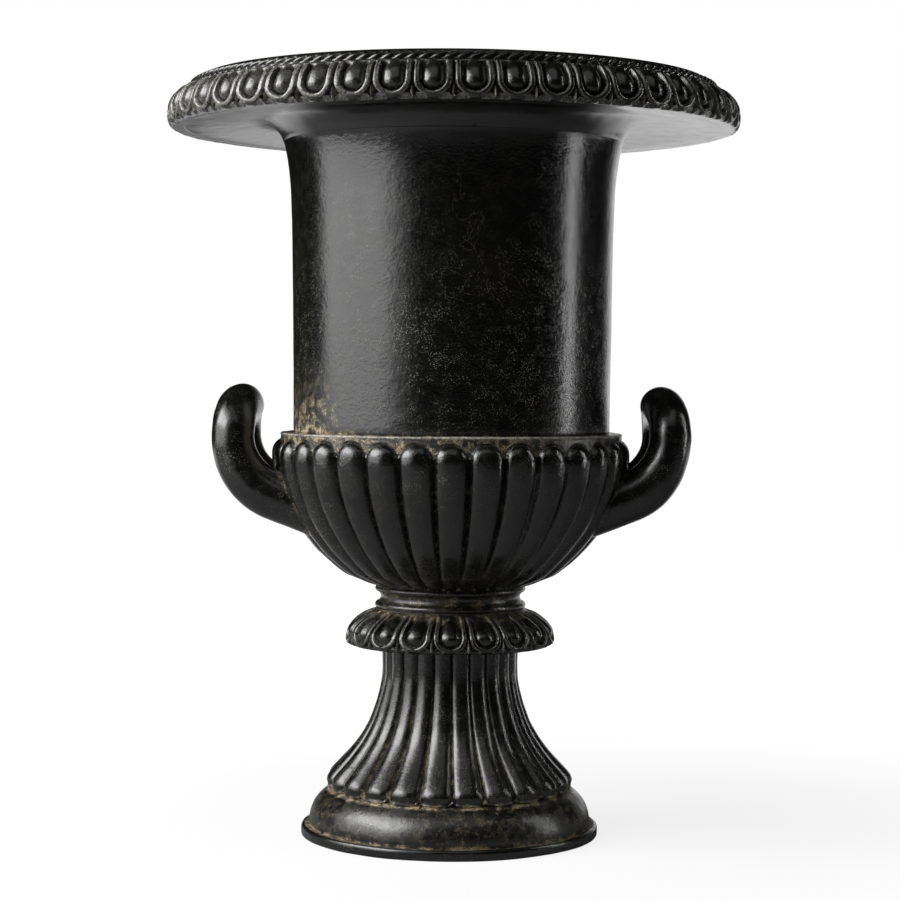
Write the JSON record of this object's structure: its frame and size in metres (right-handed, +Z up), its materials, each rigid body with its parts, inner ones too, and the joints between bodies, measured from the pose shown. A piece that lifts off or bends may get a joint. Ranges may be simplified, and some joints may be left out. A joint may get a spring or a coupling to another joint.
{
  "type": "krater vase",
  "caption": "Bell-shaped stone krater: egg-and-dart rim, plain barrel, gadrooned bowl with arched loop handles, carved collar, reeded stem and round base, built in sections on a tie rod.",
  "frame": {"origin": "centre of the round base, on the plane it stands on", "axes": "+Z up along the axis of the vessel; +X towards the right handle, seen from the front (-Y)"},
  "size_m": [0.3804, 0.3804, 0.5006],
  "materials": {
    "stone": "satin",
    "bedding": "matte",
    "steel": "brushed"
  },
  "bodies": {
    "root": {"base_plinth": "stone", "reeded_stem": "stone", "egg_collar": "stone", "neck_ring": "stone", "gadrooned_bowl": "stone", "handle_right": "stone", "handle_left": "stone", "barrel": "stone", "rim": "stone", "bed_base": "bedding", "bed_stem": "bedding", "bed_collar": "bedding", "bed_neck": "bedding", "bed_bowl": "bedding", "bed_barrel": "bedding", "handle_dowels": "steel", "tie_rod": "steel", "washer_lower": "steel", "nut_lower": "steel", "washer_upper": "steel", "nut_upper": "steel"}
  },
  "joints": []
}
